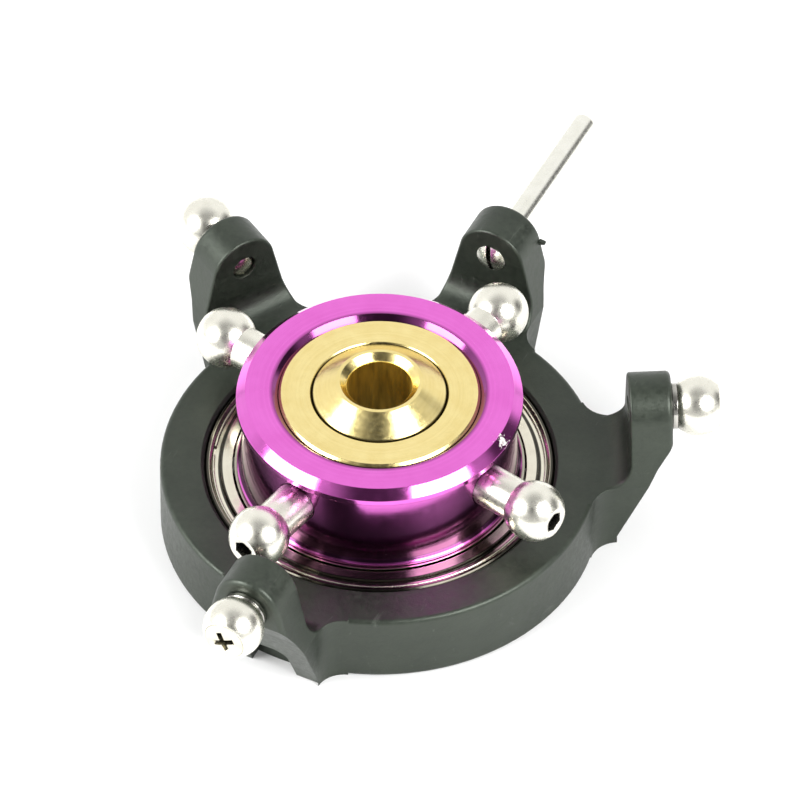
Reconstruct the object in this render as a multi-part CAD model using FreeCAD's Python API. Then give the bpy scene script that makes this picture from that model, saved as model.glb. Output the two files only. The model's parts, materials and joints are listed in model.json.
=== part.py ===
import FreeCAD
import Part
import math
import os

# Model-helicopter swashplate, in millimetres.
# The origin is the centre of the tilting ball, +Z points up the main shaft, and the
# anti-rotation pin points along +Y. The moulded outer plate stands still, and the inner
# ring turns in it on a thin shielded ball bearing.

# Bearing between the plate and the inner ring
bearing_bore_d = 20.0
bearing_section = 3.5         # radial distance from the bore to the outside
bearing_width = 4.0
bearing_ball_d = 1.5875
bearing_ball_count = 19
bearing_edge_chamfer = 0.2
raceway_clearance = 0.04      # between a ball and the raceway's groove
land_gap = 1.16               # between the lands of the two races
shield_ledge_depth = 0.5      # from the race's end face down to the shield's ledge
shield_rim_wall = 0.58        # race wall left outside the shield
shield_mouth_chamfer = 0.18
shield_sheet = 0.15
shield_flange_depth = 0.1     # from the race's end face down to the raised face
shield_flange_width = 0.85
shield_slope_width = 0.12
shield_running_gap = 0.17     # from the inner race's land to the shield's edge
shield_fit = 0.03
shield_wire_width = 0.22
shield_wire_height = 0.2
shield_wire_gap_deg = 4.0
shield_wire_gap_at_deg = 200.0
cage_wall = 0.6
cage_clearance = 0.06
cage_floor_z = -1.2           # measured from the bearing's middle plane
cage_claw_z = 0.45
cage_notch_z = -0.35
cage_notch_width = 0.7
bearing_drop = 5.05           # from the ball's centre plane down to the bearing's top face

# Tilting ball on the main shaft, and the brass race that holds it
shaft_d = 5.0
shaft_bore_chamfer = 0.55
uniball_rim_wall = 0.83       # from the shaft bore to the foot of the end cone
uniball_band_height = 5.7     # of the spherical band
uniball_cone_height = 1.29
race_wall = 1.9               # from the ball's surface to the race's seat
swivel_clearance = 0.05
race_edge_chamfer = 0.2
race_mouth_chamfer = 0.12     # round the ball

# Inner ring
ring_wall = 2.25              # from the race's seat to the bearing's bore
race_recess = 0.18            # the race lies this far below the flange's face
seat_mouth_chamfer = 0.45
flange_overhang = 1.0         # past the bearing's bore
flange_chamfer = 0.7
flange_rim_height = 0.45
flange_underside_chamfer = 0.25
waist_overhang = 0.35         # past the bearing's bore, just under the flange
waist_taper = 0.35            # the waist widens by this much down to its foot
waist_fillet = 0.3            # under the flange
lip_overhang = 0.98
lip_height = 0.27
lip_ledge_height = 0.3        # of the slope from the waist out to the lip
lip_edge_chamfer = 0.08
race_shoulder_width = 0.85
race_shoulder_height = 0.9
spigot_wall = 1.6
spigot_below_groove = 0.75
spigot_end_chamfer = 0.3

# Retaining ring under the bearing
groove_depth = 0.4
groove_play = 0.02
retainer_thickness = 0.6
retainer_width = 1.1
retainer_eccentricity = 0.2
retainer_lug_r = 1.0
retainer_lug_hole_d = 0.9
retainer_lug_deg = 8.0
retainer_gap_deg = 7.0
retainer_gap_at_deg = 124.0

# Balls on the inner ring, for the links to the rotor head
stud_count = 4
stud_phase_deg = 79.0
stud_drop = 0.65              # below the tilting ball's centre
stud_ball_d = 4.7
stud_ball_reach = 4.6         # from the ring's waist to the ball's centre
stud_neck_d = 3.3
stud_seat_depth = 0.2         # of the neck's flat seat in the waist
stud_seat_clearance = 0.05
stud_thread_d = 2.5
stud_thread_length = 1.85
stud_end_offset = 1.96        # from the ball's centre to its flat end
stud_hex_flats = 1.5
stud_hex_depth = 1.2
stud_hex_mouth_d = 2.1
stud_hex_mouth_depth = 0.25
thread_clearance = 0.02
tap_run_out = 0.1

# Outer plate
plate_wall = 3.4              # outside the bearing
plate_rim_above_bearing = 0.18
plate_floor = 1.85            # under the bearing
floor_lip_width = 1.1
seat_lead_in = 0.25
plate_edge_radius = 0.35

# Ears of the plate: three for link balls, and the fourth for the anti-rotation pin
pin_ear_deg = 90.0
ball_ear_spacing_deg = 120.0
ear_gap = 2.2                 # from the plate's wall to the ear's inner face
ear_thickness = 3.3
ear_top_r = 2.75
ear_root_half_width = 3.9
ear_inner_fillet = 2.0
ear_boss_drop = 1.3           # the outer face is upright down to here
ear_knee_drop = 3.3
ear_knee_set_back = 1.2
foot_overhang = 0.9           # past the plate's wall at its bottom edge
root_fillet = 2.2
arch_half_width = 1.9
arch_height = 4.3
arch_corner_r = 1.2
ear_outer_edge_r = 0.4
ear_inner_edge_r = 0.2

# Link balls and their screws
screw_d = 2.0
screw_hole_clearance = 0.03
screw_head_d = 3.3
screw_head_height = 0.65
screw_head_dome = 0.2
screw_tip_recess = 0.15       # behind the ear's inner face
screw_tip_chamfer = 0.2
washer_d = 3.55
washer_thickness = 0.5
washer_edge_chamfer = 0.08
link_ball_d = 4.7
link_ball_length = 3.16       # between its flats

# Anti-rotation pin
pin_d = 2.0
pin_root_d = 2.4
pin_reach = 13.3              # beyond the ear's outer face
pin_proud = 0.4               # inside the ear's inner face
pin_end_chamfer = 0.25

# Sizes that follow from the ones above
bore_r = bearing_bore_d / 2
bearing_r = bore_r + bearing_section
pitch_r = bore_r + bearing_section / 2
bearing_top_z = -bearing_drop
bearing_mid_z = bearing_top_z - bearing_width / 2
bearing_bottom_z = bearing_top_z - bearing_width
inner_land_r = pitch_r - land_gap / 2
outer_land_r = pitch_r + land_gap / 2
shield_bore_r = bearing_r - shield_rim_wall
race_seat_r = bore_r - ring_wall
uniball_r = race_seat_r - race_wall
band_half = uniball_band_height / 2
waist_r = bore_r + waist_overhang
waist_foot_r = waist_r + waist_taper
lip_r = bore_r + lip_overhang
flange_r = bore_r + flange_overhang
flange_top_z = band_half + race_recess
retainer_groove_r = bore_r - groove_depth
plate_r = bearing_r + plate_wall
plate_top_z = bearing_top_z + plate_rim_above_bearing
plate_bottom_z = bearing_bottom_z - plate_floor
floor_bore_r = bearing_r - floor_lip_width
ear_inner_r = plate_r + ear_gap
ear_outer_r = ear_inner_r + ear_thickness
stud_seat_r = waist_r - stud_seat_depth
stud_ball_x = waist_r + stud_ball_reach
screw_hole_r = screw_d / 2 + screw_hole_clearance
link_ball_x = ear_outer_r + washer_thickness + link_ball_length / 2
link_ball_end_x = link_ball_x + link_ball_length / 2
pin_end_x = ear_outer_r + pin_reach

UP = FreeCAD.Vector(0, 0, 1)
ORIGIN = FreeCAD.Vector(0, 0, 0)


def outline_wire(place, start, steps):
    """Closed wire of lines and arcs. A step is the next point, or (point on arc, end)."""
    edges = []
    here = start
    for step in steps:
        if isinstance(step[0], tuple):
            way, end = step
            edges.append(Part.Arc(place(*here), place(*way), place(*end)).toShape())
        else:
            end = step
            edges.append(Part.LineSegment(place(*here), place(*end)).toShape())
        here = end
    if here != start:
        edges.append(Part.LineSegment(place(*here), place(*start)).toShape())
    return Part.Wire(edges)


def turned(start, *steps):
    """Solid of revolution about Z from an outline of (radius, height) points."""
    wire = outline_wire(lambda r, z: FreeCAD.Vector(r, 0, z), start, steps)
    return Part.Face(wire).revolve(ORIGIN, UP, 360)


def plate_of(height, bottom, start, *steps):
    """Prism upright on the XY plane from an outline of (x, y) points."""
    wire = outline_wire(lambda x, y: FreeCAD.Vector(x, y, bottom), start, steps)
    return Part.Face(wire).extrude(UP * height)


def cylinder(radius, height, bottom):
    return Part.makeCylinder(radius, height, FreeCAD.Vector(0, 0, bottom))


def about_shaft(shape, angle_deg):
    """Copy of a shape turned about the main shaft."""
    copy = shape.copy()
    copy.rotate(ORIGIN, UP, angle_deg)
    return copy


def laid_radial(shape, angle_deg, height=0.0):
    """Lay a part that was turned about Z along a radius of the swashplate."""
    copy = shape.copy()
    copy.rotate(ORIGIN, FreeCAD.Vector(0, 1, 0), 90)
    copy.translate(FreeCAD.Vector(0, 0, height))
    return about_shaft(copy, angle_deg)


def flip_about_bearing(shape):
    """Mirror image across the bearing's middle plane."""
    return shape.mirror(FreeCAD.Vector(0, 0, bearing_mid_z), UP)


def ball_ear_angles():
    """The three link-ball ears: opposite the pin's ear, and to either side of it."""
    opposite = pin_ear_deg + 180
    return [opposite + step * ball_ear_spacing_deg for step in (-1, 0, 1)]


# ---------------------------------------------------------------- tilting ball and race

def uniball():
    rim_z = band_half + uniball_cone_height
    rim_r = shaft_d / 2 + uniball_rim_wall
    band_r = math.sqrt(uniball_r ** 2 - band_half ** 2)
    mouth_r = shaft_d / 2 + shaft_bore_chamfer
    mouth_z = rim_z - shaft_bore_chamfer
    return turned(
        (shaft_d / 2, -mouth_z),
        (mouth_r, -rim_z),
        (rim_r, -rim_z),
        (band_r, -band_half),
        ((uniball_r, 0), (band_r, band_half)),
        (rim_r, rim_z),
        (mouth_r, rim_z),
        (shaft_d / 2, mouth_z),
    )


def upper_ball_race():
    cup_r = uniball_r + swivel_clearance
    cup_top_z = band_half - race_mouth_chamfer
    cup_top_r = math.sqrt(cup_r ** 2 - cup_top_z ** 2)
    way_z = cup_top_z / 2
    way_r = math.sqrt(cup_r ** 2 - way_z ** 2)
    return turned(
        (cup_r, 0),
        (race_seat_r, 0),
        (race_seat_r, band_half - race_edge_chamfer),
        (race_seat_r - race_edge_chamfer, band_half),
        (cup_top_r + race_mouth_chamfer, band_half),
        (cup_top_r, cup_top_z),
        ((way_r, way_z), (cup_r, 0)),
    )


# ---------------------------------------------------------------------------- inner ring

def ring_blank():
    """Spool that carries the ball race inside and the bearing on its spigot."""
    rim_z = flange_top_z - flange_chamfer
    rim_bottom_z = rim_z - flange_rim_height
    fillet_top_r = waist_r + waist_fillet
    bend = waist_fillet * (1 - math.sqrt(0.5))
    underside_z = rim_bottom_z - flange_underside_chamfer
    lip_top_z = bearing_top_z + lip_height
    waist_bottom_z = lip_top_z + lip_ledge_height
    groove_top_z = bearing_bottom_z
    groove_bottom_z = groove_top_z - retainer_thickness - groove_play
    end_z = groove_bottom_z - spigot_below_groove
    shoulder_r = race_seat_r - race_shoulder_width
    shoulder_z = -band_half - race_shoulder_height
    relief_r = bore_r - spigot_wall
    relief_top_z = shoulder_z - (relief_r - shoulder_r)
    return turned(
        (race_seat_r, flange_top_z - seat_mouth_chamfer),
        (race_seat_r + seat_mouth_chamfer, flange_top_z),
        (flange_r - flange_chamfer, flange_top_z),
        (flange_r, rim_z),
        (flange_r, rim_bottom_z),
        (fillet_top_r, underside_z),
        ((waist_r + bend, underside_z - bend), (waist_r, underside_z - waist_fillet)),
        (waist_foot_r, waist_bottom_z),
        (lip_r, lip_top_z),
        (lip_r, bearing_top_z + lip_edge_chamfer),
        (lip_r - lip_edge_chamfer, bearing_top_z),
        (bore_r, bearing_top_z),
        (bore_r, groove_top_z),
        (retainer_groove_r, groove_top_z),
        (retainer_groove_r, groove_bottom_z),
        (bore_r, groove_bottom_z),
        (bore_r, end_z + spigot_end_chamfer),
        (bore_r - spigot_end_chamfer, end_z),
        (relief_r + spigot_end_chamfer, end_z),
        (relief_r, end_z + spigot_end_chamfer),
        (relief_r, relief_top_z),
        (shoulder_r, shoulder_z),
        (shoulder_r, -band_half),
        (race_seat_r, -band_half),
    )


def stud_socket():
    """Flat seat and tapped hole for one ball stud, turned about Z."""
    seat_r = stud_neck_d / 2 + stud_seat_clearance
    tap_end = stud_seat_r - stud_thread_length - tap_run_out
    tap_r = stud_thread_d / 2 + thread_clearance
    seat = cylinder(seat_r, flange_overhang, stud_seat_r)
    tap = cylinder(tap_r, stud_seat_r - tap_end, tap_end)
    return seat.fuse(tap)


def stud_angles():
    return [stud_phase_deg + step * 360 / stud_count for step in range(stud_count)]


def inner_ring():
    ring = ring_blank()
    for angle in stud_angles():
        ring = ring.cut(laid_radial(stud_socket(), angle, -stud_drop))
    return ring


def ball_stud():
    """Ball, neck and thread in one turned piece, with a hex socket in the ball's end."""
    ball_r = stud_ball_d / 2
    neck_r = stud_neck_d / 2
    thread_r = stud_thread_d / 2
    tip_x = stud_seat_r - stud_thread_length
    neck_top_x = stud_ball_x - math.sqrt(ball_r ** 2 - neck_r ** 2)
    end_x = stud_ball_x + stud_end_offset
    end_r = math.sqrt(ball_r ** 2 - stud_end_offset ** 2)
    mouth_r = stud_hex_mouth_d / 2
    mouth_x = end_x - stud_hex_mouth_depth
    body = turned(
        (0, tip_x),
        (thread_r, tip_x),
        (thread_r, stud_seat_r),
        (neck_r, stud_seat_r),
        (neck_r, neck_top_x),
        ((ball_r, stud_ball_x), (end_r, end_x)),
        (mouth_r, end_x),
        (0, mouth_x),
    )
    return body.cut(hex_socket(end_x - stud_hex_depth, stud_hex_depth))


def hex_socket(floor_x, depth):
    corner_r = stud_hex_flats / math.sqrt(3)
    corners = []
    for side in range(6):
        turn = math.radians(60 * side)
        corners.append((corner_r * math.cos(turn), corner_r * math.sin(turn)))
    return plate_of(depth, floor_x, *corners)


def bearing_retaining_ring():
    """External retaining ring: eccentric, open at one side, with two pierced lugs."""
    top = bearing_bottom_z
    bottom = top - retainer_thickness
    inner_r = retainer_groove_r + groove_play
    outer_r = inner_r + retainer_width
    outside = cylinder(outer_r, retainer_thickness, bottom)
    outside.translate(FreeCAD.Vector(-retainer_eccentricity, 0, 0))
    lug_x = inner_r + retainer_lug_r
    lug = cylinder(retainer_lug_r, retainer_thickness, bottom)
    hole = cylinder(retainer_lug_hole_d / 2, retainer_thickness, bottom)
    for part in (lug, hole):
        part.translate(FreeCAD.Vector(lug_x, 0, 0))
    sides = (-retainer_lug_deg, retainer_lug_deg)
    ring = outside.fuse([about_shaft(lug, angle) for angle in sides])
    ring = ring.cut([about_shaft(hole, angle) for angle in sides])
    ring = ring.cut(cylinder(inner_r, retainer_thickness, bottom))
    half_gap = math.tan(math.radians(retainer_gap_deg / 2)) * bearing_r
    gap = plate_of(
        retainer_thickness, bottom, (0, 0), (bearing_r, -half_gap), (bearing_r, half_gap)
    )
    return about_shaft(ring.cut(gap), retainer_gap_at_deg)


# ------------------------------------------------------------------------------- bearing

def bearing_outer_race():
    half = bearing_width / 2
    groove_r = bearing_ball_d / 2 + raceway_clearance
    groove_half = math.sqrt(groove_r ** 2 - (land_gap / 2) ** 2)
    ledge_z = half - shield_ledge_depth
    mouth_r = shield_bore_r + shield_mouth_chamfer
    mouth_z = half - shield_mouth_chamfer
    race = turned(
        (bearing_r, -half + bearing_edge_chamfer),
        (bearing_r, half - bearing_edge_chamfer),
        (bearing_r - bearing_edge_chamfer, half),
        (mouth_r, half),
        (shield_bore_r, mouth_z),
        (shield_bore_r, ledge_z),
        (outer_land_r, ledge_z),
        (outer_land_r, groove_half),
        ((pitch_r + groove_r, 0), (outer_land_r, -groove_half)),
        (outer_land_r, -ledge_z),
        (shield_bore_r, -ledge_z),
        (shield_bore_r, -mouth_z),
        (mouth_r, -half),
        (bearing_r - bearing_edge_chamfer, -half),
    )
    race.translate(UP * bearing_mid_z)
    return race


def bearing_inner_race():
    half = bearing_width / 2
    groove_r = bearing_ball_d / 2 + raceway_clearance
    groove_half = math.sqrt(groove_r ** 2 - (land_gap / 2) ** 2)
    race = turned(
        (bore_r, -half + bearing_edge_chamfer),
        (bore_r + bearing_edge_chamfer, -half),
        (inner_land_r, -half),
        (inner_land_r, -groove_half),
        ((pitch_r - groove_r, 0), (inner_land_r, groove_half)),
        (inner_land_r, half),
        (bore_r + bearing_edge_chamfer, half),
        (bore_r, half - bearing_edge_chamfer),
    )
    race.translate(UP * bearing_mid_z)
    return race


def ball_angles():
    return [step * 360 / bearing_ball_count for step in range(bearing_ball_count)]


def bearing_balls():
    centre = FreeCAD.Vector(pitch_r, 0, bearing_mid_z)
    ball = Part.makeSphere(bearing_ball_d / 2, centre)
    return Part.makeCompound([about_shaft(ball, angle) for angle in ball_angles()])


def bearing_cage():
    """Crown cage: a ring below the balls with two claws round each of them."""
    inner_r = pitch_r - cage_wall / 2
    outer_r = pitch_r + cage_wall / 2
    cage = turned(
        (inner_r, cage_floor_z),
        (outer_r, cage_floor_z),
        (outer_r, cage_claw_z),
        (inner_r, cage_claw_z),
    )
    notch = Part.makeBox(
        cage_wall * 2,
        cage_notch_width,
        cage_claw_z - cage_notch_z,
        FreeCAD.Vector(pitch_r - cage_wall, -cage_notch_width / 2, cage_notch_z),
    )
    between = 180 / bearing_ball_count
    cage = cage.cut([about_shaft(notch, angle + between) for angle in ball_angles()])
    pocket = cylinder(bearing_ball_d / 2 + cage_clearance, outer_r, 0)
    cage = cage.cut([laid_radial(pocket, angle) for angle in ball_angles()])
    cage.translate(UP * bearing_mid_z)
    return cage


def upper_shield():
    """Pressed sheet ring: a flange near the race's face, stepped down to its ledge."""
    edge_r = inner_land_r + shield_running_gap
    fold_r = edge_r + shield_flange_width
    foot_r = fold_r + shield_slope_width
    rim_r = shield_bore_r - shield_fit
    top = bearing_top_z - shield_flange_depth
    ledge = bearing_top_z - shield_ledge_depth
    return turned(
        (edge_r, top - shield_sheet),
        (edge_r, top),
        (fold_r, top),
        (foot_r, ledge + shield_sheet),
        (rim_r, ledge + shield_sheet),
        (rim_r, ledge),
        (foot_r - shield_sheet, ledge),
        (fold_r - shield_sheet, top - shield_sheet),
    )


def upper_shield_wire():
    """Split ring of flat wire that holds the shield on its ledge."""
    outer_r = shield_bore_r - shield_fit
    inner_r = outer_r - shield_wire_width
    foot_z = bearing_top_z - shield_ledge_depth + shield_sheet
    top_z = foot_z + shield_wire_height
    ring = turned((inner_r, foot_z), (outer_r, foot_z), (outer_r, top_z), (inner_r, top_z))
    half_gap = math.tan(math.radians(shield_wire_gap_deg / 2)) * bearing_r
    gap = plate_of(
        shield_wire_height, foot_z, (0, 0), (bearing_r, -half_gap), (bearing_r, half_gap)
    )
    return about_shaft(ring.cut(gap), shield_wire_gap_at_deg)


# --------------------------------------------------------------------------- outer plate

def plate_ring():
    """Round body of the plate: a seat for the bearing over a floor lip."""
    edge = plate_edge_radius
    corner = edge * (1 - math.sqrt(0.5))
    return turned(
        (floor_bore_r, plate_bottom_z),
        (plate_r - edge, plate_bottom_z),
        ((plate_r - corner, plate_bottom_z + corner), (plate_r, plate_bottom_z + edge)),
        (plate_r, plate_top_z - edge),
        ((plate_r - corner, plate_top_z - corner), (plate_r - edge, plate_top_z)),
        (bearing_r + seat_lead_in, plate_top_z),
        (bearing_r, plate_top_z - seat_lead_in),
        (bearing_r, bearing_bottom_z),
        (floor_bore_r, bearing_bottom_z),
    )


def ear_side_prism():
    """The ear seen from the side: upright boss, sloping outer face, filleted inner root."""
    core_r = plate_r - plate_wall / 2
    knee_x = ear_outer_r - ear_knee_set_back
    fillet_x = ear_inner_r - ear_inner_fillet
    fillet_z = plate_top_z + ear_inner_fillet
    bend = ear_inner_fillet * math.sqrt(0.5)
    wire = outline_wire(
        lambda x, z: FreeCAD.Vector(x, -ear_root_half_width, z),
        (ear_inner_r, ear_top_r),
        [
            (ear_outer_r, ear_top_r),
            (ear_outer_r, -ear_boss_drop),
            (knee_x, -ear_knee_drop),
            (plate_r + foot_overhang, plate_bottom_z),
            (core_r, plate_bottom_z),
            (core_r, plate_top_z),
            (fillet_x, plate_top_z),
            ((fillet_x + bend, fillet_z - bend), (ear_inner_r, fillet_z)),
        ],
    )
    return Part.Face(wire).extrude(FreeCAD.Vector(0, 2 * ear_root_half_width, 0))


def ear_front_prism():
    """The ear seen from the front: round top, straight flanks that spread to the root."""
    root_distance = math.hypot(ear_root_half_width, plate_top_z)
    root_angle = math.atan2(plate_top_z, ear_root_half_width)
    touch = root_angle + math.acos(ear_top_r / root_distance)
    touch_y = ear_top_r * math.cos(touch)
    touch_z = ear_top_r * math.sin(touch)
    wire = outline_wire(
        lambda y, z: FreeCAD.Vector(0, y, z),
        (ear_root_half_width, plate_bottom_z),
        [
            (ear_root_half_width, plate_top_z),
            (touch_y, touch_z),
            ((0, ear_top_r), (-touch_y, touch_z)),
            (-ear_root_half_width, plate_top_z),
            (-ear_root_half_width, plate_bottom_z),
        ],
    )
    return Part.Face(wire).extrude(FreeCAD.Vector(ear_outer_r, 0, 0))


def rim_edges(shape, x, foot_z):
    """Edges round the ear's upright face at x, without the face's lowest edge at foot_z."""
    small = 1e-6
    found = []
    for edge in shape.Edges:
        on_face = all(abs(vertex.X - x) < small for vertex in edge.Vertexes)
        lowest = all(abs(vertex.Z - foot_z) < small for vertex in edge.Vertexes)
        if on_face and not lowest:
            found.append(edge)
    return found


def root_gusset():
    """Fillet in plan between the plate's round wall and one flank of the ear."""
    centre_y = ear_root_half_width + root_fillet
    centre_x = math.sqrt((plate_r + root_fillet) ** 2 - centre_y ** 2)
    wall_share = plate_r / (plate_r + root_fillet)
    wall_point = (centre_x * wall_share, centre_y * wall_share)
    wall_angle = math.atan2(-centre_y, -centre_x)
    mid_angle = (wall_angle - math.pi / 2) / 2
    way = (
        centre_x + root_fillet * math.cos(mid_angle),
        centre_y + root_fillet * math.sin(mid_angle),
    )
    core_x = plate_r - plate_wall / 2
    return plate_of(
        plate_top_z - plate_bottom_z,
        plate_bottom_z,
        (centre_x, ear_root_half_width),
        (way, wall_point),
        (core_x * wall_point[0] / plate_r, core_x * wall_point[1] / plate_r),
        (core_x, ear_root_half_width),
    )


def arch_cut():
    """Arch under the ear that leaves two feet and bares the plate's wall."""
    crown_z = plate_bottom_z + arch_height
    spring_z = crown_z - arch_corner_r
    flat_y = arch_half_width - arch_corner_r
    bend = arch_corner_r * math.sqrt(0.5)
    wire = outline_wire(
        lambda y, z: FreeCAD.Vector(0, y, z),
        (arch_half_width, plate_bottom_z - plate_edge_radius),
        [
            (arch_half_width, spring_z),
            ((flat_y + bend, spring_z + bend), (flat_y, crown_z)),
            (-flat_y, crown_z),
            ((-flat_y - bend, spring_z + bend), (-arch_half_width, spring_z)),
            (-arch_half_width, plate_bottom_z - plate_edge_radius),
        ],
    )
    tunnel = Part.Face(wire).extrude(FreeCAD.Vector(ear_outer_r, 0, 0))
    height = arch_height + plate_edge_radius
    return tunnel.cut(cylinder(plate_r, height, plate_bottom_z - plate_edge_radius))


def ear():
    """One ear on the +X axis, with the feet and fillets that join it to the plate."""
    body = ear_side_prism().common(ear_front_prism())
    outer_rim = rim_edges(body, ear_outer_r, -ear_boss_drop)
    body = body.makeFillet(ear_outer_edge_r, outer_rim)
    gusset = root_gusset()
    other_gusset = gusset.mirror(ORIGIN, FreeCAD.Vector(0, 1, 0))
    body = body.fuse([gusset, other_gusset]).removeSplitter()
    inner_rim = rim_edges(body, ear_inner_r, plate_top_z + ear_inner_fillet)
    body = body.makeFillet(ear_inner_edge_r, inner_rim)
    return body.cut(arch_cut())


def outer_plate():
    plate = plate_ring()
    one_ear = ear()
    angles = [pin_ear_deg] + ball_ear_angles()
    plate = plate.fuse([about_shaft(one_ear, angle) for angle in angles])
    plate = plate.cut(cylinder(bearing_r, bearing_width, bearing_bottom_z))
    screw_hole = cylinder(screw_hole_r, ear_outer_r, plate_r)
    plate = plate.cut([laid_radial(screw_hole, angle) for angle in ball_ear_angles()])
    pin_hole = cylinder(pin_root_d / 2, ear_outer_r, plate_r)
    plate = plate.cut(laid_radial(pin_hole, pin_ear_deg))
    return plate.removeSplitter()


# ------------------------------------------------------ pieces fastened to the plate's ears

def link_ball():
    """Drilled and countersunk ball with two flats."""
    ball_r = link_ball_d / 2
    half = link_ball_length / 2
    flat_r = math.sqrt(ball_r ** 2 - half ** 2)
    head_r = screw_head_d / 2
    start_x = link_ball_x - half
    seat_x = link_ball_end_x - screw_head_height
    return turned(
        (screw_hole_r, start_x),
        (flat_r, start_x),
        ((ball_r, link_ball_x), (flat_r, link_ball_end_x)),
        (head_r, link_ball_end_x),
        (screw_hole_r, seat_x),
    )


def link_ball_washer():
    outer_r = washer_d / 2
    end_x = ear_outer_r + washer_thickness
    return turned(
        (screw_hole_r, ear_outer_r),
        (outer_r - washer_edge_chamfer, ear_outer_r),
        (outer_r, ear_outer_r + washer_edge_chamfer),
        (outer_r, end_x - washer_edge_chamfer),
        (outer_r - washer_edge_chamfer, end_x),
        (screw_hole_r, end_x),
    )


def link_ball_screw():
    """Countersunk screw with a slightly raised head, seated in the ball."""
    shank_r = screw_d / 2
    head_r = screw_head_d / 2 - screw_hole_clearance
    neck_x = link_ball_end_x - (head_r - shank_r) * screw_head_height / (
        screw_head_d / 2 - screw_hole_r
    )
    tip_x = ear_inner_r + screw_tip_recess
    dome_way_r = head_r / 2
    dome_r = (head_r ** 2 + screw_head_dome ** 2) / (2 * screw_head_dome)
    dome_drop = dome_r - math.sqrt(dome_r ** 2 - dome_way_r ** 2)
    return turned(
        (0, tip_x),
        (shank_r - screw_tip_chamfer, tip_x),
        (shank_r, tip_x + screw_tip_chamfer),
        (shank_r, neck_x),
        (head_r, link_ball_end_x),
        (
            (dome_way_r, link_ball_end_x + screw_head_dome - dome_drop),
            (0, link_ball_end_x + screw_head_dome),
        ),
    )


def anti_rotation_pin():
    """Slim guide pin on a thicker root pressed through its ear."""
    root_r = pin_root_d / 2
    slim_r = pin_d / 2
    start_x = ear_inner_r - pin_proud
    return turned(
        (0, start_x),
        (root_r - pin_end_chamfer, start_x),
        (root_r, start_x + pin_end_chamfer),
        (root_r, ear_outer_r),
        (slim_r, ear_outer_r),
        (slim_r, pin_end_x - pin_end_chamfer),
        (slim_r - pin_end_chamfer, pin_end_x),
        (0, pin_end_x),
    )


def numbered(name, shape, angles, height=0.0):
    """The same piece at several angles, each as a node of its own."""
    nodes = {}
    for number, angle in enumerate(angles, start=1):
        nodes[f"{name}_{number}"] = laid_radial(shape, angle, height)
    return nodes


def all_nodes():
    upper_race = upper_ball_race()
    shield = upper_shield()
    wire = upper_shield_wire()
    nodes = {
        "outer_plate": outer_plate(),
        "inner_ring": inner_ring(),
        "uniball": uniball(),
        "upper_ball_race": upper_race,
        "lower_ball_race": upper_race.mirror(ORIGIN, UP),
        "bearing_outer_race": bearing_outer_race(),
        "bearing_inner_race": bearing_inner_race(),
        "bearing_balls": bearing_balls(),
        "bearing_cage": bearing_cage(),
        "upper_shield": shield,
        "lower_shield": flip_about_bearing(shield),
        "upper_shield_wire": wire,
        "lower_shield_wire": flip_about_bearing(wire),
        "bearing_retaining_ring": bearing_retaining_ring(),
        "anti_rotation_pin": laid_radial(anti_rotation_pin(), pin_ear_deg),
    }
    nodes.update(numbered("rotor_ball_stud", ball_stud(), stud_angles(), -stud_drop))
    ears = ball_ear_angles()
    nodes.update(numbered("link_ball", link_ball(), ears))
    nodes.update(numbered("link_ball_washer", link_ball_washer(), ears))
    nodes.update(numbered("link_ball_screw", link_ball_screw(), ears))
    return nodes


os.makedirs("parts", exist_ok=True)
for node_name, node_shape in all_nodes().items():
    node_shape.exportStep(f"parts/{node_name}.step")
    solids = len(node_shape.Solids)
    volume = round(node_shape.Volume, 2)
    print(node_name, "solids", solids, "volume", volume, "valid", node_shape.isValid())
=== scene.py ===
"""The looks of a model-helicopter swashplate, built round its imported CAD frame.

Lengths are in metres, and MM turns millimetres into them. The origin is the tilting
ball's centre, Z runs up the shaft and the anti-rotation pin points along +Y.
"""
import json
import math

import bmesh
import bpy
from mathutils import Matrix, Vector

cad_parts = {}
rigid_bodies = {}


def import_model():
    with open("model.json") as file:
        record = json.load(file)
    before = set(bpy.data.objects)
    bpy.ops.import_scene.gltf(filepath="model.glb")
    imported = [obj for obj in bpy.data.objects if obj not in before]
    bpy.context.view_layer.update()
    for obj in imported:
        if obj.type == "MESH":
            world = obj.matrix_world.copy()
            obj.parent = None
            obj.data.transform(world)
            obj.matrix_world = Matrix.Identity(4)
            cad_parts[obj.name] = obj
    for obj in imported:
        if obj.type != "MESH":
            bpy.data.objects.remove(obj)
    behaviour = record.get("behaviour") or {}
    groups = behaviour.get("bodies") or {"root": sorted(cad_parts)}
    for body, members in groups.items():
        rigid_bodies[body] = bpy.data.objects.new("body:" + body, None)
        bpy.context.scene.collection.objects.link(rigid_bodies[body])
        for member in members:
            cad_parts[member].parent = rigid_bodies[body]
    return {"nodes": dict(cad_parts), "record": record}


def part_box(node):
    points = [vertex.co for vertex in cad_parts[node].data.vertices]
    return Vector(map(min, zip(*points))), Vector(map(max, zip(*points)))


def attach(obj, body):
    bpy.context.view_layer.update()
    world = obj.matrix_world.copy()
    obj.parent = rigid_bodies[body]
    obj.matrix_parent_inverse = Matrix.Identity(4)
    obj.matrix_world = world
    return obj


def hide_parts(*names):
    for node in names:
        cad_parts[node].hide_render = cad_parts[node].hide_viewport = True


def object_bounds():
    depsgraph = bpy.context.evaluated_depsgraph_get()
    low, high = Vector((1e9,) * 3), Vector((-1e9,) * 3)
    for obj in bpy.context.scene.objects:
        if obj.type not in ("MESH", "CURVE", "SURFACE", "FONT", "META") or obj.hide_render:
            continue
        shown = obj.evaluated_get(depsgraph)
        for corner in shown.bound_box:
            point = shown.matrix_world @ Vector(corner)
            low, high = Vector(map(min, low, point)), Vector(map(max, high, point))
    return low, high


MM = 0.001

for leftover in list(bpy.data.objects):
    bpy.data.objects.remove(leftover)

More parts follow.
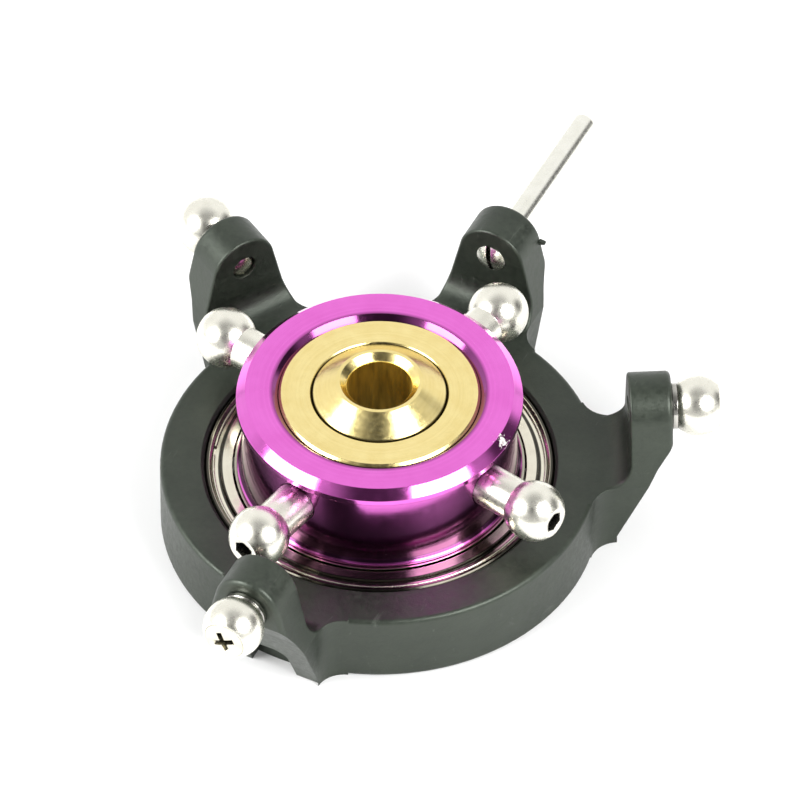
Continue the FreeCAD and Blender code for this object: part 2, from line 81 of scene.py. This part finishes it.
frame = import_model()
nodes = frame["nodes"]
bpy.context.view_layer.update()
cad_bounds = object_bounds()


# ---------------------------------------------------------------------------------- nodes


class Nodes:
    """The emptied node tree of a material or world, with short ways to add to it."""

    def __init__(self, owner):
        owner.use_nodes = True
        self.tree = owner.node_tree
        self.tree.nodes.clear()

    def plug(self, socket, value):
        if isinstance(value, bpy.types.NodeSocket):
            self.tree.links.new(value, socket)
        else:
            socket.default_value = value

    def add(self, kind, inputs=(), **properties):
        """A new node; its inputs are values or sockets, by name or number."""
        made = self.tree.nodes.new(kind)
        for key, value in properties.items():
            setattr(made, key, value)
        for key, value in dict(inputs).items():
            self.plug(made.inputs[key], value)
        return made

    def math(self, operation, *values):
        return self.add("ShaderNodeMath", dict(enumerate(values)), operation=operation).outputs[0]

    def span(self, value, low, high, to_low=0.0, to_high=1.0, **properties):
        """Goes from to_low to to_high, and no further, as value goes from low to high."""
        sockets = {
            "Value": value,
            "From Min": low,
            "From Max": high,
            "To Min": to_low,
            "To Max": to_high,
        }
        return self.add("ShaderNodeMapRange", sockets, clamp=True, **properties).outputs[0]


def rgb(red, green, blue):
    return (red, green, blue, 1.0)


def grey(level):
    return rgb(level, level, level)


# ------------------------------------------------------------------ camera, floor, light

VIEW_AZIMUTH = 26.8                   # degrees; 0 looks along +Y, 90 along -X
VIEW_ELEVATION = 46.5
VIEW_WIDTH = 61.35 * MM               # that the frame takes in at the object
VIEW_CENTRE = (1.57 * MM, 1.37 * MM)  # right of and above the tilting ball's centre
CAMERA_DISTANCE = 1.2
CAMERA_CLIP = (0.01, 20)
SENSOR = 36.0                         # mm

FLOOR_HALF = 3.0
FLOOR_CELLS = 8
FLOOR_GAP = 0.01 * MM                 # parts the floor from the plate's flat underside
FLOOR_GREY = 0.82
FLOOR_GLOW = 0.12                     # makes it white where it is seen directly

ROOM = 0.50                           # brightness of the room before the object
DARK_SPOT = 0.06                      # where the camera stands
BACKDROP = 0.98                       # of the white backdrop behind the object
OVERHEAD = 0.60                       # share of the brightness left straight overhead
GAP = 0.10                            # share left in an unlit gap beside the backdrop
GAP_PLACE = (130, 15)                 # its azimuth and elevation

# Soft edge of each zone: cosines of the angle from its middle, where it starts and is full.
SPOT_EDGE = (0.86, 0.985)
BACKDROP_EDGE = (-0.1, 0.4)
OVERHEAD_EDGE = (0.75, 0.98)
GAP_EDGE = (0.93, 0.985)

# Round soft lamps: name, degrees of azimuth past the camera's, elevation.
SOFTBOXES = (("softbox_left", -72, 33), ("softbox_right", 50, 41))
SOFTBOX_DISTANCE = 0.45
SOFTBOX_SIZE = 0.30
SOFTBOX_POWER = 2.3                   # watts


def view_axes(azimuth, elevation):
    """(right, up, back) of a camera that looks at the object from there."""
    a, e = math.radians(azimuth), math.radians(elevation)
    right = Vector((math.cos(a), math.sin(a), 0))
    back = Vector((math.sin(a) * math.cos(e), -math.cos(a) * math.cos(e), math.sin(e)))
    return right, back.cross(right), back


def add_camera():
    right, up, back = view_axes(VIEW_AZIMUTH, VIEW_ELEVATION)
    target = right * VIEW_CENTRE[0] + up * VIEW_CENTRE[1]
    data = bpy.data.cameras.new("camera")
    data.sensor_width = SENSOR
    data.lens = SENSOR * CAMERA_DISTANCE / VIEW_WIDTH
    data.clip_start, data.clip_end = CAMERA_CLIP
    camera = bpy.data.objects.new("camera", data)
    bpy.context.scene.collection.objects.link(camera)
    turn = Matrix((right, up, back)).transposed()
    camera.matrix_world = Matrix.Translation(target + back * CAMERA_DISTANCE) @ turn.to_4x4()
    bpy.context.scene.camera = camera


def add_floor():
    """Pale table, shown white to the camera and to polished metal, with its shadow kept.

    From below it is clear, so that the underside of the object can be seen.
    """
    mesh = bpy.data.meshes.new("floor")
    work = bmesh.new()
    bmesh.ops.create_grid(
        work, x_segments=FLOOR_CELLS, y_segments=FLOOR_CELLS, size=FLOOR_HALF
    )
    work.to_mesh(mesh)
    work.free()
    floor = bpy.data.objects.new("floor", mesh)
    floor.location.z = cad_bounds[0].z - FLOOR_GAP
    bpy.context.scene.collection.objects.link(floor)
    material = bpy.data.materials.new("floor_white")
    made = Nodes(material)
    ray = made.add("ShaderNodeLightPath").outputs
    seen = made.math("ADD", ray["Is Camera Ray"], ray["Is Glossy Ray"])
    seen = made.math("ADD", seen, ray["Is Transmission Ray"])
    glow = made.math("MULTIPLY", seen, FLOOR_GLOW)
    paper = made.add("ShaderNodeBsdfDiffuse", {"Color": grey(FLOOR_GREY)}).outputs[0]
    light = made.add("ShaderNodeEmission", {"Color": grey(1), "Strength": glow}).outputs[0]
    top = made.add("ShaderNodeAddShader", {0: paper, 1: light}).outputs[0]
    below = made.add("ShaderNodeNewGeometry").outputs["Backfacing"]
    clear = made.add("ShaderNodeBsdfTransparent").outputs[0]
    table = made.add("ShaderNodeMixShader", {0: below, 1: top, 2: clear}).outputs[0]
    made.add("ShaderNodeOutputMaterial", {"Surface": table})
    mesh.materials.append(material)


def add_world():
    """White backdrop behind the object, dim room before it; plain white to the camera."""
    world = bpy.data.worlds.new("studio")
    bpy.context.scene.world = world
    made = Nodes(world)
    ray = made.add("ShaderNodeTexCoord").outputs["Generated"]

    def zone(middle, edge, outside, inside):
        facing = made.add("ShaderNodeVectorMath", {0: ray, 1: middle}, operation="DOT_PRODUCT")
        cosine = facing.outputs["Value"]
        return made.span(cosine, *edge, outside, inside, interpolation_type="SMOOTHSTEP")

    behind = -view_axes(VIEW_AZIMUTH, 0)[2]
    room = zone(view_axes(VIEW_AZIMUTH, VIEW_ELEVATION)[2], SPOT_EDGE, ROOM, DARK_SPOT)
    backdrop = zone(behind, BACKDROP_EDGE, 0.0, BACKDROP - ROOM)
    overhead = zone(Vector((0, 0, 1)), OVERHEAD_EDGE, 1.0, OVERHEAD)
    gap = zone(view_axes(*GAP_PLACE)[2], GAP_EDGE, 1.0, GAP)
    level = made.math("ADD", room, backdrop)
    level = made.math("MULTIPLY", level, overhead)
    level = made.math("MULTIPLY", level, gap)
    studio = made.add("ShaderNodeBackground", {"Color": grey(1), "Strength": level}).outputs[0]
    white = made.add("ShaderNodeBackground", {"Color": grey(1), "Strength": 1.0}).outputs[0]
    to_camera = made.add("ShaderNodeLightPath").outputs["Is Camera Ray"]
    both = made.add("ShaderNodeMixShader", {0: to_camera, 1: studio, 2: white}).outputs[0]
    made.add("ShaderNodeOutputWorld", {"Surface": both})


def add_softbox(name, azimuth, elevation):
    """Round soft lamp that faces the object; its angles are seen from the object."""
    back = view_axes(azimuth, elevation)[2]
    data = bpy.data.lights.new(name, "AREA")
    data.shape = "DISK"
    data.size = SOFTBOX_SIZE
    data.energy = SOFTBOX_POWER
    lamp = bpy.data.objects.new(name, data)
    lamp.location = back * SOFTBOX_DISTANCE
    lamp.rotation_euler = back.to_track_quat("Z", "Y").to_euler()
    bpy.context.scene.collection.objects.link(lamp)


add_camera()
add_floor()
add_world()
for name, past_camera, elevation in SOFTBOXES:
    add_softbox(name, VIEW_AZIMUTH + past_camera, elevation)
bpy.context.scene.view_settings.view_transform = "Standard"


# ------------------------------------------------------------------------------ materials

# Where the purple ring changes, in mm from the tilting ball's centre.
WALL_HEIGHTS = (-3.5, 1.9)            # foot and top of the waist, whose painted shade darkens it downwards
FACE_HEIGHTS = (1.9, 2.1)             # the flange starts between these
LIP_REACH = (10.84, 10.90)            # the lip under the waist starts between these
MOUTH_REACH = (8.2, 8.5)              # the painted shade on the step round the brass ends between these
CHIPPED_PLACE = (10.6, -0.2, 2.7)     # where the flange's edge lost its dye
CHIPPED_REACH = (0.2, 1.1)            # chips thin out between these distances from it

BORE_EDGE = 0.06                      # mm; soft edge of the colour in a bore
BAND_EDGE = 0.05                      # mm; soft edge of a band of painted shade
GAP_SHADE_HALF = (0.05, 0.14)              # mm from the running gap, where its painted shade is full and where it ends
GAP_SHADE_HEIGHTS = (2.2, 2.5)             # mm; the gap's painted shade is only above these


class Finish(Nodes):
    """One material: a Principled surface with helpers for its noise, zones and relief."""

    def __init__(self, name, sockets):
        self.material = bpy.data.materials.new(name)
        super().__init__(self.material)
        self.surface = self.add("ShaderNodeBsdfPrincipled", sockets)
        self.add("ShaderNodeOutputMaterial", {"Surface": self.surface.outputs[0]})
        self.place = self.add("ShaderNodeTexCoord").outputs["Object"]

    def link(self, socket, value):
        self.plug(self.surface.inputs[socket], value)

    def noise(self, per_mm, detail, roughness=0.55, vector=None, distortion=0.0):
        sockets = {
            "Vector": self.place if vector is None else vector,
            "Scale": per_mm / MM,
            "Detail": detail,
            "Roughness": roughness,
            "Distortion": distortion,
        }
        return self.add("ShaderNodeTexNoise", sockets).outputs["Fac"]

    def weighted(self, first, share, second):
        """Share of the first value and the rest of the second."""
        return self.math("MULTIPLY_ADD", first, share, self.math("MULTIPLY", second, 1 - share))

    def across(self, place, edges, before=0.0, after=1.0):
        """Goes from before to after as place passes between two edges in mm."""
        return self.span(place, edges[0] * MM, edges[1] * MM, before, after)

    def blend(self, share, first, second):
        """The first colour, and the second by that share."""
        sockets = {0: share, 6: first, 7: second}
        return self.add("ShaderNodeMix", sockets, data_type="RGBA").outputs[2]

    def turned(self):
        """(distance from the shaft's axis, height, fine marks that run round the shaft)."""
        split = self.add("ShaderNodeSeparateXYZ", {0: self.place}).outputs
        level = self.add("ShaderNodeCombineXYZ", {0: split[0], 1: split[1]}).outputs[0]
        reach = self.add("ShaderNodeVectorMath", {0: level}, operation="LENGTH").outputs["Value"]
        height = split[2]
        around = self.add("ShaderNodeCombineXYZ", {0: reach, 1: height}).outputs[0]
        return reach, height, self.noise(5.0, detail=4, roughness=0.7, vector=around)

    def stretched(self, x, y, z, turn=0.0):
        """Place scaled along each axis, for marks that are longer one way than another."""
        sockets = {
            "Vector": self.place,
            "Rotation": (0.5 * turn, 0.4 * turn, turn),
            "Scale": (x, y, z),
        }
        return self.add("ShaderNodeMapping", sockets).outputs[0]

    def painted_cavity_shade(self, reach_mm, darkest):
        """1 in the open, falling to darkest where surfaces within reach close in."""
        # Painted shade: ambient occlusion darkens the colour where surfaces close in.
        made = self.add("ShaderNodeAmbientOcclusion", {"Distance": reach_mm * MM}, samples=8)
        return self.span(made.outputs["AO"], 0.25, 0.75, darkest, 1.0)

    def dimmed(self, share, loss):
        """Brightness that is left where a share of the surface loses that much."""
        return self.math("SUBTRACT", 1.0, self.math("MULTIPLY", share, loss))

    def shade(self, colour, *levels):
        """Colour times each level."""
        for level in levels:
            same = {0: level, 1: level, 2: level}
            tint = self.add("ShaderNodeCombineColor", same).outputs[0]
            made = self.add("ShaderNodeVectorMath", {0: colour, 1: tint}, operation="MULTIPLY")
            colour = made.outputs[0]
        return colour

    def relief(self, edge, *layers):
        """Edges broken by edge mm, under bumps from (height, depth in mm) layers."""
        normal = self.add("ShaderNodeBevel", {"Radius": edge * MM}, samples=6).outputs[0]
        for height, depth in layers:
            sockets = {
                "Height": height,
                "Distance": depth * MM,
                "Strength": 1.0,
                "Normal": normal,
            }
            normal = self.add("ShaderNodeBump", sockets).outputs[0]
        self.link("Normal", normal)


def black_nylon():
    """Moulded nylon: a fine grain, cloudy patches and a few pale scuffs."""
    dark, light = rgb(0.003, 0.005, 0.003), rgb(0.019, 0.024, 0.017)
    scuffed = rgb(0.055, 0.062, 0.052)
    gloss = {"Specular IOR Level": 0.78, "Specular Tint": rgb(0.90, 1.0, 0.86)}
    made = Finish("black_nylon", gloss)
    cloud = made.noise(0.35, detail=3)
    grain = made.noise(2.2, detail=6, roughness=0.65)
    speck = made.noise(9.0, detail=3)
    tone = made.span(made.weighted(grain, 0.6, cloud), 0.36, 0.66)
    drawn = made.stretched(1.0, 0.12, 0.5, turn=0.7)
    scuffs = made.noise(1.6, detail=5, roughness=0.75, vector=drawn, distortion=0.4)
    scuffs = made.span(scuffs, 0.63, 0.72, 0.0, 0.8)
    made.link("Base Color", made.blend(scuffs, made.blend(tone, dark, light), scuffed))
    made.link("Roughness", made.span(grain, 0.3, 0.7, 0.34, 0.52))
    made.relief(0.12, (grain, 0.02), (speck, 0.006))
    return made.material


def purple_anodised():
    """Dyed aluminium: turning marks, a waist that darkens downwards, and chipped dye."""
    dark, light = rgb(0.81, 0.150, 0.65), rgb(0.89, 0.190, 0.74)
    bare = rgb(0.88, 0.87, 0.82)
    coat = {"Metallic": 1.0, "Coat Weight": 0.3, "Coat Roughness": 0.12}
    made = Finish("purple_anodised", coat)
    reach, height, rings = made.turned()
    cloud = made.noise(0.5, detail=4)
    tone = made.span(made.weighted(rings, 0.5, cloud), 0.35, 0.65)
    # Painted shade: the waist darkens downwards to its foot, while the flange and the lip keep
    # their full brightness.
    wall_painted_shade = made.across(height, WALL_HEIGHTS, 0.10, 0.85)
    face = made.across(height, FACE_HEIGHTS)
    lip = made.across(reach, LIP_REACH)
    outside = made.math("MAXIMUM", made.math("MAXIMUM", wall_painted_shade, face), lip)
    # Painted shade on the step round the brass.
    mouth = made.across(reach, MOUTH_REACH, 0.35, 1.0)
    # The dye also gets painted shade where surfaces close in.
    dyed = made.shade(made.blend(tone, dark, light), outside, mouth, made.painted_cavity_shade(0.9, 0.25))
    spot = {0: made.place, 1: [along * MM for along in CHIPPED_PLACE]}
    away = made.add("ShaderNodeVectorMath", spot, operation="DISTANCE").outputs["Value"]
    nearness = made.across(away, CHIPPED_REACH, 0.30, 0.0)
    chips = made.math("ADD", made.noise(3.2, detail=5, roughness=0.7), nearness)
    chips = made.span(chips, 0.72, 0.76)
    made.link("Base Color", made.blend(chips, dyed, bare))
    polish = made.span(made.noise(1.6, detail=5), 0.3, 0.7, 0.09, 0.15)
    made.link("Roughness", made.math("MULTIPLY_ADD", chips, 0.5, polish))
    made.relief(0.06, (rings, 0.0010))
    return made.material


def turned_metal(name, dark, light, rough, ring_depth, bore_r=0.0, gap_shade_r=0.0, painted_shade_bands=()):
    """Metal turned about the shaft: concentric marks and a slightly clouded polish.

    All sizes are in mm. Inside bore_r it is left as drilled, duller and deeper in
    colour, and darker in streaks that are partly drill marks and partly painted shade;
    painted shade darkens the running gap between two turned pieces round its radius.
    Each band of painted shade goes from one radius to another and keeps that share of the
    brightness.
    """
    made = Finish(name, {"Metallic": 1.0, "Anisotropic": 0.3})
    reach, height, rings = made.turned()
    cloud = made.noise(0.8, detail=5)
    tone = made.span(made.weighted(rings, 0.5, cloud), 0.35, 0.65)
    colour = made.blend(tone, rgb(*dark), rgb(*light))
    polish = made.span(made.noise(2.4, detail=4), 0.3, 0.7, *rough)
    # Painted shade where surfaces close in.
    levels = [made.painted_cavity_shade(0.5, 0.30)]
    if bore_r:
        # Inside the bore: deeper gold, duller, and darker in streaks that are partly drill marks
        # and partly painted shade.
        drilled = made.across(reach, (bore_r, bore_r + BORE_EDGE), 1.0, 0.0)
        chatter_and_shade = made.noise(1.4, detail=3, vector=made.stretched(1.0, 1.0, 0.15))
        levels.append(made.dimmed(drilled, made.span(chatter_and_shade, 0.35, 0.65, 0.05, 0.5)))
        polish = made.math("MULTIPLY_ADD", drilled, 0.28, polish)
        colour = made.blend(drilled, colour, rgb(0.99, 0.70, 0.13))
    if gap_shade_r:
        # Painted shade in the running gap between two turned pieces.
        off_gap_shade = made.math("ABSOLUTE", made.math("SUBTRACT", reach, gap_shade_r * MM))
        near = made.across(off_gap_shade, GAP_SHADE_HALF, 1.0, 0.0)
        raised = made.across(height, GAP_SHADE_HEIGHTS)
        levels.append(made.dimmed(near, made.math("MULTIPLY", raised, 0.85)))
    # Bands of painted shade, each keeping its share of the brightness.
    for inner, outer, share in painted_shade_bands:
        past_inner = made.across(reach, (inner, inner + BAND_EDGE))
        before_outer = made.across(reach, (outer - BAND_EDGE, outer), 1.0, 0.0)
        inside = made.math("MULTIPLY", past_inner, before_outer)
        levels.append(made.math("MULTIPLY_ADD", inside, share - 1.0, 1.0))
    made.link("Base Color", made.shade(colour, *levels))
    made.link("Roughness", polish)
    made.relief(0.05, (rings, ring_depth))
    tangent = made.add("ShaderNodeTangent", direction_type="RADIAL", axis="Z")
    made.link("Tangent", tangent.outputs[0])
    return made.material


def plated_metal(name, dark, light, rough, recess=0.8):
    """Nickel-plated or polished steel: faint clouding, tiny pits, and dark recesses.

    A recess up to about that many mm across gets painted shade.
    """
    made = Finish(name, {"Metallic": 1.0})
    cloud = made.noise(0.9, detail=5)
    grain = made.noise(7.0, detail=4)
    bright = made.blend(made.span(cloud, 0.35, 0.65), rgb(*dark), rgb(*light))
    # Painted shade darkens the recesses.
    made.link("Base Color", made.shade(bright, made.painted_cavity_shade(recess, 0.06)))
    made.link("Roughness", made.span(made.noise(3.0, detail=5), 0.3, 0.7, *rough))
    made.relief(0.05, (grain, 0.0004), (cloud, 0.002))
    return made.material


# Each metal: darkest colour, lightest colour, roughness from and to, and for turned metal
# the depth of its marks in mm.
materials = {
    "black_nylon": black_nylon(),
    "purple_anodised": purple_anodised(),
    "brass": turned_metal(
        "brass", (0.90, 0.72, 0.29), (0.99, 0.83, 0.38), (0.14, 0.24), 0.0012,
        bore_r=2.52, gap_shade_r=5.17,
    ),
    "bearing_steel": turned_metal(
        "bearing_steel", (0.44, 0.41, 0.33), (0.56, 0.53, 0.43), (0.10, 0.17), 0.0006,
        painted_shade_bands=[(13.12, 14.0, 0.15)],
    ),
    "sheet_steel": turned_metal(
        "sheet_steel", (0.78, 0.73, 0.60), (0.90, 0.86, 0.72), (0.10, 0.17), 0.0006,
        painted_shade_bands=[(12.06, 12.46, 0.10)],
    ),
    "spring_steel": turned_metal(
        "spring_steel", (0.66, 0.63, 0.53), (0.78, 0.75, 0.64), (0.18, 0.28), 0.001
    ),
    "plated_steel": plated_metal(
        "plated_steel", (0.86, 0.84, 0.74), (0.94, 0.92, 0.82), (0.25, 0.31), recess=1.6
    ),
    "screw_steel": plated_metal(
        "screw_steel", (0.74, 0.70, 0.56), (0.84, 0.81, 0.68), (0.18, 0.28)
    ),
    "washer_steel": plated_metal(
        "washer_steel", (0.50, 0.49, 0.45), (0.64, 0.62, 0.57), (0.14, 0.22)
    ),
    "pin_steel": plated_metal(
        "pin_steel", (0.90, 0.89, 0.80), (0.97, 0.96, 0.88), (0.22, 0.30)
    ),
}

slot_of = {entry["node"]: entry["material_slot"] for entry in frame["record"]["subparts"]}
for name, node in nodes.items():
    for holder in node.material_slots:
        holder.material = materials[slot_of[name]]


# --------------------------------------------------------------------------------- pieces

TURNED_SEGMENTS = 40             # round a turned piece
DOME_RINGS = 6
SHARP_ANGLE = 35                 # degrees; flatter edges are shaded smooth

THREAD_PITCH = 0.4 * MM
THREAD_DEPTH = 0.22 * MM
THREAD_RINGS = 5                 # to a pitch

SCREW_D = 2.0 * MM
TIP_LENGTH = 0.2 * MM            # of the taper at the screw's end
TIP_SHARE = 0.7                  # of the shank's radius that is left there
HEAD_CONE = 0.61 * MM            # height of the head's countersunk part
HEAD_DOME = 0.2 * MM             # height of its domed top
HEAD_RIM = (0.06 * MM, 0.03 * MM)  # height and inset of the round between them
EAR_STEP = 30                    # degrees; the ears stand at multiples of this
RECESS_HALF = 1.0 * MM           # of the cross recess, from its middle to an arm's end
RECESS_ARM = 0.48 * MM           # across an arm
RECESS_DEPTH = 0.85 * MM
RECESS_FLOOR = (0.35, 0.6)       # share of its half width and of its arm left at the floor
RECESS_TURN = 25                 # degrees the cross is turned about the screw
RECESS_RISE = 0.02 * MM          # its cutter starts this far above the head

PIN_D = 2.0 * MM
PIN_ROOT_LENGTH = 3.7 * MM       # of the wide threaded root in the ear
PIN_INNER_DOME = 0.35 * MM
PIN_THREAD_START = 0.1 * MM      # past the dome
PIN_SHOULDER = 0.02 * MM         # length of the step from the root to the pin
PIN_TIP_ROUND = 0.45 * MM
PIN_TIP_STEP = 15                # degrees of the round between two rings
PIN_SLOT = (0.4 * MM, 0.6 * MM)  # width and depth of the screwdriver slot, inner end
PIN_SLOT_REACH = 1.2             # half length of its cutter, in radii of the root
PIN_SLOT_RISE = 0.1 * MM         # the cutter starts this far before the end
PIN_SLOT_TURN = 80               # degrees

WIRE_GAP = 4                     # degrees left open in a shield's split wire
WIRE_GAP_ANGLE = 200
WIRE_STEPS = 220                 # along the wire
WIRE_SEGMENTS = 10               # round the wire

NIB_FOOT = (0.25 * MM, 0.16 * MM)  # half sizes
NIB_HEAD = (0.7, 0.6)            # share of each left at its broken end
NIB_LENGTH = 0.55 * MM
NIB_EDGE = 0.05 * MM
NIB_PLACE = (2.65 * MM, 22.1 * MM, 0.3 * MM)  # on the side of the pin's ear
NIB_TURN = 8                     # degrees


def ring_of(work, reach, radius, thread):
    """Vertices round local X; thread is the depth of a helical groove at this ring."""
    if radius == 0:
        return [work.verts.new((reach, 0, 0))]
    ring = []
    for number in range(TURNED_SEGMENTS):
        turn = number / TURNED_SEGMENTS
        r = radius - thread * abs(2 * ((reach / THREAD_PITCH - turn) % 1) - 1)
        angle = math.tau * turn
        ring.append(work.verts.new((reach, r * math.cos(angle), r * math.sin(angle))))
    return ring


def join_rings(work, before, after):
    """Faces between two rings; a ring of one vertex is a point."""
    count = max(len(before), len(after))
    for number in range(count):
        following = (number + 1) % count
        corners = [before[number % len(before)], before[following % len(before)]]
        corners += [after[following % len(after)], after[number % len(after)]]
        work.faces.new(list(dict.fromkeys(corners)))


def turned_solid(profile):
    """Closed solid about local X from (reach, radius, thread depth) rings, ends at radius 0."""
    work = bmesh.new()
    rings = [ring_of(work, *ring) for ring in profile]
    for before, after in zip(rings, rings[1:]):
        join_rings(work, before, after)
    bmesh.ops.recalc_face_normals(work, faces=work.faces)
    return work


def threaded(start, end, radius):
    """Rings of a threaded shank, plain at both ends."""
    count = max(2, round((end - start) / THREAD_PITCH * THREAD_RINGS))
    rings = []
    for number in range(count + 1):
        reach = start + (end - start) * number / count
        depth = THREAD_DEPTH if 0 < number < count else 0.0
        rings.append((reach, radius, depth))
    return rings


def dome(start, height, radius):
    """Rings of a round cap that rises by height from radius at start to the axis."""
    sphere_r = (radius ** 2 + height ** 2) / (2 * abs(height))
    rings = []
    for number in range(DOME_RINGS, 0, -1):
        r = radius * number / DOME_RINGS
        rise = math.sqrt(sphere_r ** 2 - r ** 2) - math.sqrt(sphere_r ** 2 - radius ** 2)
        rings.append((start + math.copysign(rise, height), r, 0.0))
    return rings + [(start + height, 0.0, 0.0)]


def prism(outline_a, reach_a, outline_b, reach_b):
    """Tapered prism along local X between two outlines of as many (y, z) points."""
    work = bmesh.new()
    a = [work.verts.new((reach_a, y, z)) for y, z in outline_a]
    b = [work.verts.new((reach_b, y, z)) for y, z in outline_b]
    join_rings(work, a, b)
    work.faces.new(a)
    work.faces.new(b)
    bmesh.ops.recalc_face_normals(work, faces=work.faces)
    return work


def rectangle(half_y, half_z):
    return [(-half_y, -half_z), (half_y, -half_z), (half_y, half_z), (-half_y, half_z)]


def cross_outline(half, arm_half):
    """Outline of the screws' cross recess."""
    points = []
    for quarter in range(4):
        angle = math.radians(90 * quarter + RECESS_TURN)
        c, s = math.cos(angle), math.sin(angle)
        for y, z in ((half, -arm_half), (half, arm_half), (arm_half, arm_half)):
            points.append((y * c - z * s, y * s + z * c))
    return points


def object_from(name, work):
    mesh = bpy.data.meshes.new(name)
    work.to_mesh(mesh)
    work.free()
    made = bpy.data.objects.new(name, mesh)
    bpy.context.scene.collection.objects.link(made)
    return made


def cut(solid, tool):
    """Takes the tool's shape out of the solid and removes the tool."""
    modifier = solid.modifiers.new("recess", "BOOLEAN")
    modifier.object = tool
    modifier.solver = "EXACT"
    evaluated = solid.evaluated_get(bpy.context.evaluated_depsgraph_get())
    carved = bpy.data.meshes.new_from_object(evaluated)
    solid.modifiers.clear()
    solid.data = carved
    bpy.data.objects.remove(tool)


def finish_piece(piece, place, body, slot, *replaced):
    piece.data.transform(place)
    piece.data.shade_smooth()
    piece.data.set_sharp_from_angle(angle=math.radians(SHARP_ANGLE))
    piece.data.materials.clear()
    piece.data.materials.append(materials[slot])
    if replaced:
        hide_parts(*replaced)
    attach(piece, body)


def turned_z(degrees):
    return Matrix.Rotation(math.radians(degrees), 4, "Z")


def reach_of(name, angle):
    """(lowest, highest) reach of a node along the level direction at this angle."""
    direction = Vector((math.cos(math.radians(angle)), math.sin(math.radians(angle)), 0))
    reaches = [corner.co.dot(direction) for corner in nodes[name].data.vertices]
    return min(reaches), max(reaches)


def add_link_ball_screw(number):
    """Screw through a link ball: thread, countersunk head and cut cross recess."""
    name = f"link_ball_screw_{number}"
    low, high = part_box(name)
    centre = (low + high) / 2
    angle = round(math.degrees(math.atan2(centre.y, centre.x)) / EAR_STEP) * EAR_STEP
    tip, end = reach_of(name, angle)
    head_r = (high.z - low.z) / 2
    shank_r = SCREW_D / 2
    rim = end - HEAD_DOME
    profile = [(tip, 0.0, 0.0), (tip, TIP_SHARE * shank_r, 0.0)]
    profile += threaded(tip + TIP_LENGTH, rim - HEAD_CONE, shank_r)
    profile += [(rim - HEAD_RIM[0], head_r - HEAD_RIM[1], 0.0)]
    profile += dome(rim, HEAD_DOME, head_r)
    screw = object_from(f"phillips_screw_{number}", turned_solid(profile))
    mouth = cross_outline(RECESS_HALF, RECESS_ARM / 2)
    floor = cross_outline(RECESS_FLOOR[0] * RECESS_HALF, RECESS_FLOOR[1] * RECESS_ARM / 2)
    cut(screw, object_from("recess", prism(mouth, end + RECESS_RISE, floor, end - RECESS_DEPTH)))
    finish_piece(screw, turned_z(angle), "stationary_plate", "screw_steel", name)


def add_pin():
    """Anti-rotation pin: slotted and threaded root, plain pin and rounded tip."""
    low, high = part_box("anti_rotation_pin")
    root_r = (high.z - low.z) / 2
    pin_r = PIN_D / 2
    start, end = low.y, high.y
    thread_start = start + PIN_INNER_DOME
    root_end = start + PIN_ROOT_LENGTH
    profile = list(reversed(dome(thread_start, -PIN_INNER_DOME, root_r)))
    profile += threaded(thread_start + PIN_THREAD_START, root_end, root_r)
    profile += [(root_end + PIN_SHOULDER, pin_r, 0.0)]
    for degrees in range(0, 91, PIN_TIP_STEP):
        turn = math.radians(degrees)
        reach = end - PIN_TIP_ROUND * (1 - math.sin(turn))
        profile += [(reach, pin_r - PIN_TIP_ROUND * (1 - math.cos(turn)), 0.0)]
    profile += [(end, 0.0, 0.0)]
    pin = object_from("guide_pin", turned_solid(profile))
    width, depth = PIN_SLOT
    turn = Matrix.Rotation(math.radians(PIN_SLOT_TURN), 2)
    outline = rectangle(root_r * PIN_SLOT_REACH, width / 2)
    slot = [tuple(turn @ Vector(corner)) for corner in outline]
    cut(pin, object_from("slot", prism(slot, start - PIN_SLOT_RISE, slot, start + depth)))
    finish_piece(pin, turned_z(90), "stationary_plate", "pin_steel", "anti_rotation_pin")


def add_shield_wire(name):
    """Split ring of round wire that holds a shield in the outer race."""
    low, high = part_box(name)
    wire_r = (high.z - low.z) / 2
    path_r = high.x - wire_r
    height = (high.z + low.z) / 2
    work = bmesh.new()
    rings = []
    for step in range(WIRE_STEPS + 1):
        along = (360 - WIRE_GAP) * step / WIRE_STEPS
        angle = math.radians(WIRE_GAP_ANGLE + WIRE_GAP / 2 + along)
        ring = []
        for number in range(WIRE_SEGMENTS):
            around = math.tau * number / WIRE_SEGMENTS
            reach = path_r + wire_r * math.cos(around)
            z = height + wire_r * math.sin(around)
            ring.append(work.verts.new((reach * math.cos(angle), reach * math.sin(angle), z)))
        rings.append(ring)
    for before, after in zip(rings, rings[1:]):
        join_rings(work, before, after)
    work.faces.new(rings[0])
    work.faces.new(rings[-1])
    bmesh.ops.recalc_face_normals(work, faces=work.faces)
    wire = object_from(f"split_{name}", work)
    finish_piece(wire, Matrix(), "stationary_plate", "spring_steel", name)


def add_gate_nib():
    """Stub left on the pin's ear where the moulding was broken from its runner."""
    foot = rectangle(*NIB_FOOT)
    head = [(NIB_HEAD[0] * y, NIB_HEAD[1] * z) for y, z in foot]
    work = prism(foot, 0.0, head, NIB_LENGTH)
    bmesh.ops.bevel(work, geom=work.edges[:], offset=NIB_EDGE, segments=2, affect="EDGES")
    nib = object_from("gate_nib", work)
    place = Matrix.Translation(NIB_PLACE) @ turned_z(NIB_TURN)
    finish_piece(nib, place, "stationary_plate", "black_nylon")


for number in (1, 2, 3):
    add_link_ball_screw(number)
add_pin()
add_shield_wire("upper_shield_wire")
add_shield_wire("lower_shield_wire")
add_gate_nib()
